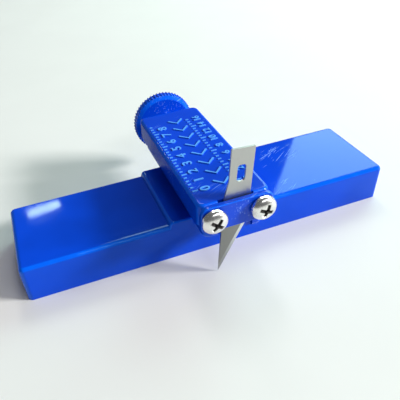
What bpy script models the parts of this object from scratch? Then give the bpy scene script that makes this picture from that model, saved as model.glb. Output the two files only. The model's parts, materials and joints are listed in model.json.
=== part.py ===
"""Screw-adjusted strip cutter: a guide bar, a blade carriage that slides across it, and a knob.

The bar lies along X and rides against the edge of the sheet. The carriage slides along Y on a
T-shaped rail that is screwed to the bar, and carries a craft blade clamped on its front face.
A lead screw in the carriage's rear wall turns in a brass nut in the rail, so turning the knob
sets the width of the strip between the bar's front face and the blade.

Units are metres, +Z is up and the front is -Y. The origin is the middle of the bar's underside.
"""

import math

import bmesh
import bpy
from mathutils import Matrix, Vector

MM = 0.001

# --- guide bar ---------------------------------------------------------------------------
BAR_LENGTH = 114.3 * MM
BAR_DEPTH = 28.4 * MM
BAR_HEIGHT = 11.9 * MM
BAR_CORNER = 1.1 * MM  # radius of the bar's long edges and ends
SADDLE_LENGTH = 29.9 * MM
SADDLE_STEP = 1.45 * MM
SADDLE_SLANT = 0.5 * MM
WALL = 2.4 * MM
RIB = 1.8 * MM
CORE_LENGTH = 19.0 * MM  # solid middle that takes the rail screws
POCKET_COLUMNS = 5
POCKET_ROWS = 2

# --- clearances --------------------------------------------------------------------------
GAP = 0.3 * MM  # between pieces that touch or slide
THREAD_GAP = 0.25 * MM  # round a screw in its hole

# --- slide rail --------------------------------------------------------------------------
RAIL_LENGTH = 18.4 * MM
RAIL_STEM_WIDTH = 8.2 * MM
RAIL_HEAD_WIDTH = 12.6 * MM
RAIL_HEAD_HEIGHT = 6.0 * MM
RAIL_SEAT_DEPTH = 2.2 * MM  # how deep the rail's foot sits in the saddle
RAIL_SCREW_Y = (-4.6 * MM, 4.6 * MM)
RAIL_SCREW_RADIUS = 1.4 * MM
RAIL_SCREW_HEAD_RADIUS = 2.9 * MM
RAIL_SCREW_HEAD_HEIGHT = 1.9 * MM
RAIL_SCREW_GRIP = 3.0 * MM  # thread in the rail's foot
RAIL_SCREW_ROOF = 3.9 * MM  # from the counterbore's floor up to the bar's top

# --- blade carriage ----------------------------------------------------------------------
STRIP_SETTING = 10.2 * MM  # from the bar's front face to the blade
CARRIAGE_LENGTH = 51.4 * MM
CARRIAGE_OVERHANG = 1.45 * MM  # how far the upper part stands out on each side
CARRIAGE_UPPER_HEIGHT = 7.4 * MM
CARRIAGE_CORNER = 1.0 * MM
FRONT_WALL = 6.0 * MM
REAR_WALL = 3.5 * MM
ROOF = 2.3 * MM
ROOF_GAP = 0.65 * MM  # between the rail and the roof
LIP_THICKNESS = 2.4 * MM

# --- adjusting screw and knob --------------------------------------------------------------
SCREW_AXIS_LIFT = 2.35 * MM  # above the underside of the rail's head
LEAD_SCREW_RADIUS = 2.08 * MM
LEAD_SCREW_FRONT = -5.0 * MM
LEAD_HEAD_FLATS = 6.35 * MM
LEAD_HEAD_HEIGHT = 2.4 * MM
CLIP_GROOVE_RADIUS = 1.55 * MM
CLIP_THICKNESS = 0.8 * MM
CLIP_RADIUS = 3.9 * MM
WASHER_RADIUS = 3.9 * MM
WASHER_THICKNESS = 0.8 * MM
KNOB_NUT_FLATS = 7.4 * MM
KNOB_NUT_HEIGHT = 2.4 * MM
KNOB_RADIUS = 10.45 * MM
KNOB_THICKNESS = 3.7 * MM
KNOB_TEETH = 44
KNOB_TOOTH_DEPTH = 0.45 * MM
KNOB_RIM = 1.6 * MM
KNOB_DISH_DEPTH = 0.6 * MM
FEED_NUT_RADIUS = 3.2 * MM
FEED_NUT_LENGTH = 4.0 * MM
FEED_FLANGE_RADIUS = 3.9 * MM
FEED_FLANGE_THICKNESS = 1.2 * MM
SPRING_WIRE_RADIUS = 0.35 * MM
SPRING_COIL_RADIUS = 3.2 * MM
SPRING_TURNS = 6.5

# --- clamp and blade -----------------------------------------------------------------------
BLADE_THICKNESS = 0.5 * MM
BLADE_LEAN = math.radians(3.6)  # how far off square the blade is clamped
BLADE_TIP_X = -4.7 * MM
BLADE_TIP_Z = 0.1 * MM
BLADE_LENGTH = 39.8 * MM
BLADE_WIDTH = 8.1 * MM
BLADE_HEEL = 18.8 * MM  # height at which the cutting edge ends
TANG_INSET_SPINE = 1.0 * MM
TANG_INSET_EDGE = 0.75 * MM
SHOULDER_LOW = 25.2 * MM
SHOULDER_HIGH = 30.4 * MM
EDGE_SHOULDER = 1.2 * MM  # height of the small shoulder on the edge side
SLOT_WIDTH = 2.35 * MM
SLOT_HEIGHT = 4.9 * MM
SLOT_MIDDLE = 32.6 * MM
SLOT_CORNER = 0.8 * MM
PLATE_HEIGHT = 8.1 * MM
PLATE_RISE = 0.2 * MM  # how far it stands above the carriage
PLATE_THICKNESS = 1.6 * MM
PLATE_CORNER = 2.3 * MM
CLAMP_SCREW_WALL = 3.4 * MM  # from the screw's axis to the carriage's side
BLADE_SIDE_GAP = 0.372 * MM  # between the blade's edge side and the right screw
CLAMP_SCREW_LIFT = 0.2 * MM  # above the middle of the plate
CLAMP_SCREW_RADIUS = 1.7 * MM
CLAMP_HEAD_RADIUS = 3.55 * MM
CLAMP_HEAD_HEIGHT = 2.6 * MM
CLAMP_DRIVE_DEPTH = 1.5 * MM
INSERT_RADIUS = 2.4 * MM
INSERT_LENGTH = 4.0 * MM
INSERT_DEPTH = 1.0 * MM  # how far behind the carriage's front face the insert starts

# --- worked out from the above -------------------------------------------------------------
BAR_FRONT = -BAR_DEPTH / 2
SADDLE_TOP = BAR_HEIGHT + SADDLE_STEP
CARRIAGE_FRONT = BAR_FRONT - STRIP_SETTING
CARRIAGE_REAR = CARRIAGE_FRONT + CARRIAGE_LENGTH
CARRIAGE_BOTTOM = SADDLE_TOP + GAP
LIP_TOP = CARRIAGE_BOTTOM + LIP_THICKNESS
RAIL_HEAD_FOOT = LIP_TOP + GAP
RAIL_TOP = RAIL_HEAD_FOOT + RAIL_HEAD_HEIGHT
CAVITY_TOP = RAIL_TOP + ROOF_GAP
CARRIAGE_TOP = CAVITY_TOP + ROOF
CARRIAGE_SHOULDER = CARRIAGE_TOP - CARRIAGE_UPPER_HEIGHT
SCREW_AXIS_Z = RAIL_HEAD_FOOT + SCREW_AXIS_LIFT
CAVITY_FRONT = CARRIAGE_FRONT + FRONT_WALL
CAVITY_REAR = CARRIAGE_REAR - REAR_WALL
CAVITY_WIDTH = RAIL_HEAD_WIDTH + 2 * GAP
LIP_OPENING = RAIL_STEM_WIDTH + 2 * GAP
RAIL_FOOT = SADDLE_TOP - RAIL_SEAT_DEPTH + GAP
RAIL_REAR = RAIL_LENGTH / 2
RAIL_SCREW_SEAT = BAR_HEIGHT - RAIL_SCREW_ROOF
PLATE_REAR = CARRIAGE_FRONT - GAP
PLATE_FRONT = PLATE_REAR - PLATE_THICKNESS
CLAMP_HEAD_SEAT = PLATE_FRONT - GAP
PLATE_TOP = CARRIAGE_TOP + PLATE_RISE
PLATE_BOTTOM = PLATE_TOP - PLATE_HEIGHT
CLAMP_SCREW_Z = (PLATE_BOTTOM + PLATE_TOP) / 2 + CLAMP_SCREW_LIFT
BLADE_SIDE = BLADE_WIDTH / math.cos(BLADE_LEAN) + CLAMP_SCREW_Z * math.tan(BLADE_LEAN)
CLAMP_SCREW_X = BLADE_TIP_X + BLADE_SIDE + BLADE_SIDE_GAP + CLAMP_SCREW_RADIUS
CARRIAGE_WIDTH = 2 * (CLAMP_SCREW_X + CLAMP_SCREW_WALL)
CARRIAGE_FOOT_WIDTH = CARRIAGE_WIDTH - 2 * CARRIAGE_OVERHANG
WASHER_OUT_Y = CARRIAGE_REAR + GAP
KNOB_NUT_Y = WASHER_OUT_Y + WASHER_THICKNESS + GAP
KNOB_FRONT = KNOB_NUT_Y + KNOB_NUT_HEIGHT + GAP
KNOB_REAR = KNOB_FRONT + KNOB_THICKNESS
WASHER_IN_Y = CAVITY_REAR - GAP - WASHER_THICKNESS
CLIP_Y = WASHER_IN_Y - GAP - CLIP_THICKNESS
SPRING_SEAT_Y = CLIP_Y - GAP - WASHER_THICKNESS
FEED_FLANGE_Y = RAIL_REAR + GAP
ROUND_SIDES = 32
ALONG_Y = Matrix.Rotation(math.radians(90), 4, "X")  # turns an outline's y to +Z


# --- helpers -------------------------------------------------------------------------------
def clear_scene():
    for obj in list(bpy.data.objects):
        bpy.data.objects.remove(obj, do_unlink=True)


def make_collection(name):
    collection = bpy.data.collections.new(name)
    bpy.context.scene.collection.children.link(collection)
    return collection


def make_material(name, color, roughness, metallic=0.0):
    material = bpy.data.materials.new(name)
    material.use_nodes = True
    shader = material.node_tree.nodes["Principled BSDF"]
    shader.inputs["Base Color"].default_value = (*color, 1.0)
    shader.inputs["Roughness"].default_value = roughness
    shader.inputs["Metallic"].default_value = metallic
    return material


def add_object(name, mesh, collection, material=None, origin=(0, 0, 0)):
    """Links a mesh that is in world coordinates, with its object's origin moved to `origin`."""
    mesh.name = name
    mesh.transform(Matrix.Translation(-Vector(origin)))
    obj = bpy.data.objects.new(name, mesh)
    obj.location = origin
    collection.objects.link(obj)
    if material:
        mesh.materials.append(material)
    return obj


def mesh_from(build):
    """A new mesh from what build(bm) makes, with its normals outward."""
    bm = bmesh.new()
    build(bm)
    bmesh.ops.recalc_face_normals(bm, faces=bm.faces)
    mesh = bpy.data.meshes.new("mesh")
    bm.to_mesh(mesh)
    bm.free()
    return mesh


def box_mesh(low, high):
    size = Vector(high) - Vector(low)
    middle = (Vector(high) + Vector(low)) / 2
    matrix = Matrix.Translation(middle) @ Matrix.Diagonal((*size, 1))
    return mesh_from(lambda bm: bmesh.ops.create_cube(bm, size=1, matrix=matrix))


def rod_mesh(radius, start, length, axis="Y", sides=ROUND_SIDES):
    """A cylinder whose first end is centred on `start`, running along +Y or +Z."""
    turn = Matrix.Rotation(math.radians(-90), 4, "X") if axis == "Y" else Matrix.Identity(4)
    matrix = Matrix.Translation(start) @ turn @ Matrix.Translation((0, 0, length / 2))

    def build(bm):
        bmesh.ops.create_cone(
            bm, cap_ends=True, segments=sides, radius1=radius, radius2=radius, depth=length, matrix=matrix
        )

    return mesh_from(build)


def circle(radius, sides=ROUND_SIDES, middle=(0, 0), turn=0.0):
    steps = (2 * math.pi * k / sides + turn for k in range(sides))
    return [(middle[0] + radius * math.cos(a), middle[1] + radius * math.sin(a)) for a in steps]


def hexagon(flats, middle=(0, 0)):
    return circle(flats / math.sqrt(3), 6, middle, math.radians(30))


def rounded(corners, segments=4):
    """An outline from (x, y, radius) corners, each rounded by an arc of its radius."""
    outline = []
    count = len(corners)
    for k, (x, y, radius) in enumerate(corners):
        here = Vector((x, y))
        if radius <= 0:
            outline.append((x, y))
            continue
        before = (Vector(corners[k - 1][:2]) - here).normalized()
        after = (Vector(corners[(k + 1) % count][:2]) - here).normalized()
        half = before.angle(after) / 2
        middle = here + (before + after).normalized() * radius / math.sin(half)
        first = here + before * radius / math.tan(half) - middle
        last = here + after * radius / math.tan(half) - middle
        sweep = first.angle_signed(last)
        for step in range(segments + 1):
            turned = Matrix.Rotation(-sweep * step / segments, 2) @ first
            outline.append(tuple(middle + turned))
    return outline


def outline_mesh(loops, start, thickness):
    """A flat outline in X and Z with holes, given thickness from y = start to +Y."""
    curve = bpy.data.curves.new("outline", "CURVE")
    curve.dimensions = "2D"
    curve.fill_mode = "BOTH"
    curve.extrude = thickness / 2
    for loop in loops:
        spline = curve.splines.new("POLY")
        spline.points.add(len(loop) - 1)
        for point, (x, y) in zip(spline.points, loop):
            point.co = (x, y, 0, 1)
        spline.use_cyclic_u = True
    obj = bpy.data.objects.new("outline", curve)
    bpy.context.scene.collection.objects.link(obj)
    bpy.context.view_layer.update()
    mesh = bpy.data.meshes.new_from_object(obj.evaluated_get(bpy.context.evaluated_depsgraph_get()))
    bpy.data.objects.remove(obj)
    bm = bmesh.new()
    bm.from_mesh(mesh)
    bmesh.ops.remove_doubles(bm, verts=bm.verts, dist=1e-7)
    bmesh.ops.dissolve_limit(bm, angle_limit=1e-3, verts=bm.verts, edges=bm.edges)
    bmesh.ops.recalc_face_normals(bm, faces=bm.faces)
    bm.to_mesh(mesh)
    bm.free()
    mesh.materials.clear()
    mesh.transform(Matrix.Translation((0, start + thickness / 2, 0)) @ ALONG_Y)
    return mesh


def turned_object(name, profile, origin, collection, material, axis="Y"):
    """A profile of (radius, distance) pairs turned about +Y or +Z through `origin`."""
    mesh = bpy.data.meshes.new(name)
    points = [(radius, 0, distance) for radius, distance in profile]
    edges = [(k, k + 1) for k in range(len(points) - 1)]
    mesh.from_pydata(points, edges, [])
    obj = bpy.data.objects.new(name, mesh)
    collection.objects.link(obj)
    screw = obj.modifiers.new("turn", "SCREW")
    screw.axis = "Z"
    screw.steps = ROUND_SIDES
    screw.render_steps = ROUND_SIDES
    screw.use_merge_vertices = True
    screw.merge_threshold = 1e-6
    bpy.context.view_layer.update()
    made = bpy.data.meshes.new_from_object(obj.evaluated_get(bpy.context.evaluated_depsgraph_get()))
    bm = bmesh.new()
    bm.from_mesh(made)
    bmesh.ops.remove_doubles(bm, verts=bm.verts, dist=1e-7)
    bmesh.ops.recalc_face_normals(bm, faces=bm.faces)
    bm.to_mesh(made)
    bm.free()
    if axis == "Y":
        made.transform(Matrix.Rotation(math.radians(-90), 4, "X"))
    obj.modifiers.clear()
    obj.data = made
    made.name = name
    made.materials.append(material)
    obj.location = origin
    return obj


def boolean(obj, mesh, operation="DIFFERENCE", name="cutter"):
    """Cuts a mesh from an object, or joins it on. The helper stays hidden among the cutters."""
    helper = add_object(f"{obj.name}_{name}", mesh, cutters)
    helper.hide_render = True
    helper.display_type = "WIRE"
    modifier = obj.modifiers.new(name, "BOOLEAN")
    modifier.operation = operation
    modifier.solver = "EXACT"
    modifier.object = helper


def bevel(obj, width, segments=2, angle=60):
    modifier = obj.modifiers.new("edges", "BEVEL")
    modifier.width = width
    modifier.segments = segments
    modifier.limit_method = "ANGLE"
    modifier.angle_limit = math.radians(angle)


def shade(obj, angle=30):
    obj.data.shade_smooth()
    obj.data.set_sharp_from_angle(angle=math.radians(angle))


# --- the guide bar and its rail ------------------------------------------------------------
def make_guide_bar():
    """The moulded fence: a long bar cored from below, with a low saddle in the middle of its top."""
    half = BAR_LENGTH / 2
    foot = SADDLE_LENGTH / 2
    crest = foot - SADDLE_SLANT
    side = [
        (half, 0, BAR_CORNER / 2),
        (half, BAR_HEIGHT, BAR_CORNER),
        (foot, BAR_HEIGHT, 0),
        (crest, SADDLE_TOP, SADDLE_STEP / 3),
    ]
    corners = side + [(-x, z, radius) for x, z, radius in reversed(side)]
    mesh = outline_mesh([rounded(corners)], BAR_FRONT, BAR_DEPTH)
    bar = add_object("guide_bar", mesh, parts, blue_plastic)
    bevel(bar, BAR_CORNER * 0.8, angle=75)
    wing = half - WALL - CORE_LENGTH / 2
    column = (wing - (POCKET_COLUMNS - 1) * RIB) / POCKET_COLUMNS
    row = (BAR_DEPTH - 2 * WALL - (POCKET_ROWS - 1) * RIB) / POCKET_ROWS
    for side_sign in (-1, 1):
        for i in range(POCKET_COLUMNS):
            for j in range(POCKET_ROWS):
                near = CORE_LENGTH / 2 + i * (column + RIB)
                x_span = sorted((side_sign * near, side_sign * (near + column)))
                y_low = BAR_FRONT + WALL + j * (row + RIB)
                low = (x_span[0], y_low, -WALL)
                high = (x_span[1], y_low + row, BAR_HEIGHT - WALL)
                boolean(bar, box_mesh(low, high), name=f"pocket_{side_sign + 1}{i}{j}")
    seat_low = (-LIP_OPENING / 2, -RAIL_LENGTH / 2 - GAP, SADDLE_TOP - RAIL_SEAT_DEPTH)
    seat_high = (LIP_OPENING / 2, RAIL_LENGTH / 2 + GAP, SADDLE_TOP + WALL)
    boolean(bar, box_mesh(seat_low, seat_high), name="rail_seat")
    for k, y in enumerate(RAIL_SCREW_Y):
        hole = rod_mesh(RAIL_SCREW_RADIUS + THREAD_GAP, (0, y, -WALL), SADDLE_TOP + WALL, "Z")
        boolean(bar, hole, name=f"screw_hole_{k}")
        head = RAIL_SCREW_HEAD_RADIUS + GAP
        boolean(bar, rod_mesh(head, (0, y, -WALL), RAIL_SCREW_SEAT + WALL, "Z"), name=f"counterbore_{k}")
    shade(bar)


def make_slide_rail():
    """The T-shaped rail: its foot is keyed into the saddle and its head fills the carriage."""
    stem, head, half = RAIL_STEM_WIDTH / 2, RAIL_HEAD_WIDTH / 2, RAIL_LENGTH / 2
    head_mesh = box_mesh((-head, -half, RAIL_HEAD_FOOT), (head, half, RAIL_TOP))
    rail = add_object("slide_rail", head_mesh, parts, grey_plastic)
    stem_mesh = box_mesh((-stem, -half, RAIL_FOOT), (stem, half, SCREW_AXIS_Z))
    boolean(rail, stem_mesh, "UNION", "stem")
    bore_start = (0, -RAIL_LENGTH, SCREW_AXIS_Z)
    boolean(rail, rod_mesh(LEAD_SCREW_RADIUS + GAP, bore_start, 2 * RAIL_LENGTH), name="screw_bore")
    nut_start = (0, RAIL_REAR - FEED_NUT_LENGTH, SCREW_AXIS_Z)
    boolean(rail, rod_mesh(FEED_NUT_RADIUS + GAP, nut_start, RAIL_LENGTH), name="nut_bore")
    for k, y in enumerate(RAIL_SCREW_Y):
        pilot = rod_mesh(
            RAIL_SCREW_RADIUS + THREAD_GAP, (0, y, RAIL_FOOT - WALL), RAIL_SCREW_GRIP + GAP + WALL, "Z"
        )
        boolean(rail, pilot, name=f"pilot_{k}")


def make_rail_screws():
    """Two self-tapping screws that hold the rail from underneath."""
    seat = RAIL_SCREW_SEAT - GAP
    tip = RAIL_FOOT + RAIL_SCREW_GRIP
    head = RAIL_SCREW_HEAD_RADIUS
    profile = [
        (0, tip),
        (RAIL_SCREW_RADIUS, tip - RAIL_SCREW_RADIUS / 2),
        (RAIL_SCREW_RADIUS, seat),
        (head, seat),
        (head, seat - RAIL_SCREW_HEAD_HEIGHT * 0.5),
        (head * 0.7, seat - RAIL_SCREW_HEAD_HEIGHT),
        (0, seat - RAIL_SCREW_HEAD_HEIGHT),
    ]
    for place, y in zip(("front", "rear"), RAIL_SCREW_Y):
        screw = turned_object(f"rail_screw_{place}", profile, (0, y, 0), parts, zinc, axis="Z")
        shade(screw)


def make_feed_nut():
    """A flanged brass bush pressed into the rail: the thread that the lead screw turns in."""
    body, flange = FEED_NUT_RADIUS, FEED_FLANGE_RADIUS
    bore = LEAD_SCREW_RADIUS + THREAD_GAP
    front = RAIL_REAR - FEED_NUT_LENGTH + GAP
    rear = FEED_FLANGE_Y + FEED_FLANGE_THICKNESS
    profile = [
        (bore, rear),
        (flange, rear),
        (flange, FEED_FLANGE_Y),
        (body, FEED_FLANGE_Y),
        (body, front),
        (bore, front),
        (bore, rear),
    ]
    shade(turned_object("feed_nut", profile, (0, 0, SCREW_AXIS_Z), parts, brass))


# --- the carriage ----------------------------------------------------------------------------
def make_carriage():
    """The moulded carriage: open below, with two lips that reach under the rail's head."""
    wide, foot = CARRIAGE_WIDTH / 2, CARRIAGE_FOOT_WIDTH / 2
    upper_low = (-wide, CARRIAGE_FRONT, CARRIAGE_SHOULDER)
    upper = box_mesh(upper_low, (wide, CARRIAGE_REAR, CARRIAGE_TOP))
    carriage = add_object("blade_carriage", upper, parts, blue_plastic)
    lower_low = (-foot, CARRIAGE_FRONT, CARRIAGE_BOTTOM)
    lower = box_mesh(lower_low, (foot, CARRIAGE_REAR, CAVITY_TOP))
    boolean(carriage, lower, "UNION", "lower_body")
    bevel(carriage, CARRIAGE_CORNER, 3)
    inner, slot = CAVITY_WIDTH / 2, LIP_OPENING / 2
    cavity = box_mesh((-inner, CAVITY_FRONT, LIP_TOP), (inner, CAVITY_REAR, CAVITY_TOP))
    boolean(carriage, cavity, name="cavity")
    opening_low = (-slot, CAVITY_FRONT, CARRIAGE_BOTTOM - WALL)
    opening = box_mesh(opening_low, (slot, CAVITY_REAR, SCREW_AXIS_Z))
    boolean(carriage, opening, name="lip_opening")
    bore_start = (0, CAVITY_REAR - REAR_WALL, SCREW_AXIS_Z)
    boolean(carriage, rod_mesh(LEAD_SCREW_RADIUS + GAP, bore_start, 3 * REAR_WALL), name="screw_bore")
    lean = BLADE_HEEL * math.sin(BLADE_LEAN)
    channel_low = (BLADE_TIP_X - GAP, CARRIAGE_FRONT - WALL, CARRIAGE_BOTTOM - WALL)
    channel_right = BLADE_TIP_X + BLADE_WIDTH + lean + 2 * GAP
    channel_high = (channel_right, CARRIAGE_FRONT + BLADE_THICKNESS + GAP, CARRIAGE_TOP + WALL)
    boolean(carriage, box_mesh(channel_low, channel_high), name="blade_channel")
    for x in (-CLAMP_SCREW_X, CLAMP_SCREW_X):
        start = (x, CARRIAGE_FRONT - WALL, CLAMP_SCREW_Z)
        depth = WALL + INSERT_DEPTH + INSERT_LENGTH + GAP
        name = "insert_left" if x < 0 else "insert_right"
        boolean(carriage, rod_mesh(INSERT_RADIUS + THREAD_GAP, start, depth), name=name)
    shade(carriage)


def make_clamp():
    """The clamp plate, its two pan-head screws and the brass inserts that they turn in."""
    half = CARRIAGE_WIDTH / 2
    corners = [
        (-half, PLATE_BOTTOM, PLATE_CORNER),
        (half, PLATE_BOTTOM, PLATE_CORNER),
        (half, PLATE_TOP, PLATE_CORNER),
        (-half, PLATE_TOP, PLATE_CORNER),
    ]
    holes = [
        circle(CLAMP_SCREW_RADIUS + THREAD_GAP, ROUND_SIDES, (x, CLAMP_SCREW_Z))
        for x in (-CLAMP_SCREW_X, CLAMP_SCREW_X)
    ]
    mesh = outline_mesh([rounded(corners, 5), *holes], PLATE_FRONT, PLATE_THICKNESS)
    plate = add_object("clamp_plate", mesh, parts, blue_plastic)
    shade(plate)
    for side, x in (("left", -CLAMP_SCREW_X), ("right", CLAMP_SCREW_X)):
        make_clamp_screw(f"clamp_screw_{side}", (x, CLAMP_HEAD_SEAT, CLAMP_SCREW_Z))
        make_insert(f"clamp_insert_{side}", (x, CARRIAGE_FRONT + INSERT_DEPTH, CLAMP_SCREW_Z))


def make_clamp_screw(name, seat):
    """A domed pan-head screw with a cross recess. Its head points to -Y."""
    head, height = CLAMP_HEAD_RADIUS, CLAMP_HEAD_HEIGHT
    end = CARRIAGE_FRONT + INSERT_DEPTH + INSERT_LENGTH - CLAMP_HEAD_SEAT
    rim = height * 0.35
    dome = [
        (head * math.cos(math.radians(a)), -rim - (height - rim) * math.sin(math.radians(a)))
        for a in range(0, 91, 15)
    ]
    dome[-1] = (0, -height)
    profile = [(0, end), (CLAMP_SCREW_RADIUS, end), (CLAMP_SCREW_RADIUS, 0), (head, 0), *dome]
    screw = turned_object(name, profile, seat, parts, zinc)
    wide, narrow = head * 0.5, head * 0.14
    front = seat[1] - height
    for part, (dx, dz) in (("slot_a", (wide, narrow)), ("slot_b", (narrow, wide))):
        low = (seat[0] - dx, front - height, seat[2] - dz)
        high = (seat[0] + dx, front + CLAMP_DRIVE_DEPTH, seat[2] + dz)
        boolean(screw, box_mesh(low, high), name=part)
    shade(screw)


def make_insert(name, start):
    loops = [circle(INSERT_RADIUS), circle(CLAMP_SCREW_RADIUS + THREAD_GAP)]
    mesh = outline_mesh(loops, 0, INSERT_LENGTH)
    mesh.transform(Matrix.Translation(start))
    shade(add_object(name, mesh, parts, brass, start))


def make_blade():
    """A craft blade with its spine on the left, clamped slightly off square."""
    spine, edge = TANG_INSET_SPINE, BLADE_WIDTH - TANG_INSET_EDGE
    outline = [
        (0, 0),
        (BLADE_WIDTH, BLADE_HEEL),
        (BLADE_WIDTH, SHOULDER_LOW),
        (edge, SHOULDER_LOW + EDGE_SHOULDER),
        (edge, BLADE_LENGTH),
        (spine, BLADE_LENGTH),
        (spine, SHOULDER_HIGH),
        (0, SHOULDER_LOW),
    ]
    middle = (spine + edge) / 2
    wide, tall = SLOT_WIDTH / 2, SLOT_HEIGHT / 2
    slot = rounded(
        [
            (middle - wide, SLOT_MIDDLE - tall, SLOT_CORNER),
            (middle + wide, SLOT_MIDDLE - tall, SLOT_CORNER),
            (middle + wide, SLOT_MIDDLE + tall, SLOT_CORNER),
            (middle - wide, SLOT_MIDDLE + tall, SLOT_CORNER),
        ]
    )
    mesh = outline_mesh([outline, slot], 0, BLADE_THICKNESS)
    tip = (BLADE_TIP_X, CARRIAGE_FRONT, BLADE_TIP_Z)
    mesh.transform(Matrix.Translation(tip) @ Matrix.Rotation(BLADE_LEAN, 4, "Y"))
    add_object("blade", mesh, parts, steel, tip)


# --- the adjusting screw, its bearings and the knob --------------------------------------------
def ring(name, inner, outer, start, thickness, material):
    mesh = outline_mesh([circle(outer), circle(inner)], 0, thickness)
    place = (0, start, SCREW_AXIS_Z)
    mesh.transform(Matrix.Translation(place))
    shade(add_object(name, mesh, parts, material, place))


def make_lead_screw():
    """The lead screw: a hex head held in the knob, and a groove for the retaining clip."""
    radius = LEAD_SCREW_RADIUS
    head_y = KNOB_REAR - KNOB_DISH_DEPTH - LEAD_HEAD_HEIGHT
    groove = (CLIP_Y - GAP, CLIP_Y + CLIP_THICKNESS + GAP)
    profile = [
        (0, head_y + LEAD_HEAD_HEIGHT / 2),
        (radius, head_y + LEAD_HEAD_HEIGHT / 2),
        (radius, groove[1]),
        (CLIP_GROOVE_RADIUS, groove[1]),
        (CLIP_GROOVE_RADIUS, groove[0]),
        (radius, groove[0]),
        (radius, LEAD_SCREW_FRONT + GAP),
        (radius - GAP, LEAD_SCREW_FRONT),
        (0, LEAD_SCREW_FRONT),
    ]
    screw = turned_object("lead_screw", profile, (0, 0, SCREW_AXIS_Z), parts, zinc)
    hex_head = outline_mesh([hexagon(LEAD_HEAD_FLATS, (0, SCREW_AXIS_Z))], head_y, LEAD_HEAD_HEIGHT)
    boolean(screw, hex_head, "UNION", "hex_head")
    shade(screw)


def make_knob():
    """The thumb knob: a serrated rim, a dished rear face and a hex pocket for the screw's head."""
    rim = []
    for k in range(KNOB_TEETH * 2):
        radius = KNOB_RADIUS - (KNOB_TOOTH_DEPTH if k % 2 else 0)
        angle = math.pi * k / KNOB_TEETH
        rim.append((radius * math.cos(angle), radius * math.sin(angle)))
    bore = circle(LEAD_SCREW_RADIUS + GAP)
    mesh = outline_mesh([rim, bore], 0, KNOB_THICKNESS)
    place = (0, KNOB_FRONT, SCREW_AXIS_Z)
    mesh.transform(Matrix.Translation(place))
    knob = add_object("adjusting_knob", mesh, parts, blue_plastic, place)
    dish_y = KNOB_REAR - KNOB_DISH_DEPTH
    dish_radius = KNOB_RADIUS - KNOB_TOOTH_DEPTH - KNOB_RIM
    boolean(knob, rod_mesh(dish_radius, (0, dish_y, SCREW_AXIS_Z), KNOB_THICKNESS), name="dish")
    pocket = hexagon(LEAD_HEAD_FLATS + 2 * GAP, (0, SCREW_AXIS_Z))
    pocket_y = dish_y - LEAD_HEAD_HEIGHT - GAP
    boolean(knob, outline_mesh([pocket], pocket_y, 2 * LEAD_HEAD_HEIGHT), name="hex_pocket")
    shade(knob)


def make_bearings():
    """Washers each side of the rear wall, the clip that holds the screw, and the knob's nut."""
    bore = LEAD_SCREW_RADIUS + THREAD_GAP
    ring("outer_washer", bore, WASHER_RADIUS, WASHER_OUT_Y, WASHER_THICKNESS, zinc)
    ring("inner_washer", bore, WASHER_RADIUS, WASHER_IN_Y, WASHER_THICKNESS, zinc)
    ring("spring_seat", bore, WASHER_RADIUS, SPRING_SEAT_Y, WASHER_THICKNESS, zinc)
    nut = outline_mesh([hexagon(KNOB_NUT_FLATS), circle(bore)], 0, KNOB_NUT_HEIGHT)
    place = (0, KNOB_NUT_Y, SCREW_AXIS_Z)
    nut.transform(Matrix.Translation(place))
    add_object("knob_nut", nut, parts, zinc, place)
    opening = math.radians(70)
    sweep = 2 * math.pi - opening
    steps = 20
    angles = [-math.pi / 2 + opening / 2 + sweep * k / steps for k in range(steps + 1)]
    inner = CLIP_GROOVE_RADIUS + THREAD_GAP
    outer_arc = [(CLIP_RADIUS * math.cos(a), CLIP_RADIUS * math.sin(a)) for a in angles]
    inner_arc = [(inner * math.cos(a), inner * math.sin(a)) for a in reversed(angles)]
    clip = outline_mesh([outer_arc + inner_arc], 0, CLIP_THICKNESS)
    place = (0, CLIP_Y, SCREW_AXIS_Z)
    clip.transform(Matrix.Translation(place))
    shade(add_object("retaining_clip", clip, parts, steel, place))


def make_spring():
    """The spring round the lead screw that takes the slack out of its thread."""
    start = FEED_FLANGE_Y + FEED_FLANGE_THICKNESS + GAP + SPRING_WIRE_RADIUS
    end = SPRING_SEAT_Y - GAP - SPRING_WIRE_RADIUS
    per_turn = 14
    count = int(SPRING_TURNS * per_turn)
    curve = bpy.data.curves.new("backlash_spring", "CURVE")
    curve.dimensions = "3D"
    curve.bevel_depth = SPRING_WIRE_RADIUS
    curve.bevel_resolution = 2
    curve.use_fill_caps = True
    spline = curve.splines.new("POLY")
    spline.points.add(count)
    for k, point in enumerate(spline.points):
        angle = 2 * math.pi * k / per_turn
        x = SPRING_COIL_RADIUS * math.cos(angle)
        z = SPRING_COIL_RADIUS * math.sin(angle)
        point.co = (x, start + (end - start) * k / count, z, 1)
    curve.materials.append(steel)
    spring = bpy.data.objects.new("backlash_spring", curve)
    spring.location = (0, 0, SCREW_AXIS_Z)
    parts.objects.link(spring)


clear_scene()
parts = make_collection("strip_cutter")
cutters = make_collection("cutters")
blue_plastic = make_material("blue_plastic", (0.004, 0.045, 0.55), 0.28)
grey_plastic = make_material("grey_plastic", (0.35, 0.36, 0.38), 0.5)
zinc = make_material("zinc_plate", (0.75, 0.74, 0.71), 0.22, 1.0)
brass = make_material("brass", (0.78, 0.57, 0.25), 0.3, 1.0)
steel = make_material("blade_steel", (0.72, 0.72, 0.72), 0.3, 1.0)
make_guide_bar()
make_slide_rail()
make_rail_screws()
make_feed_nut()
make_carriage()
make_clamp()
make_blade()
make_lead_screw()
make_knob()
make_bearings()
make_spring()
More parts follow.
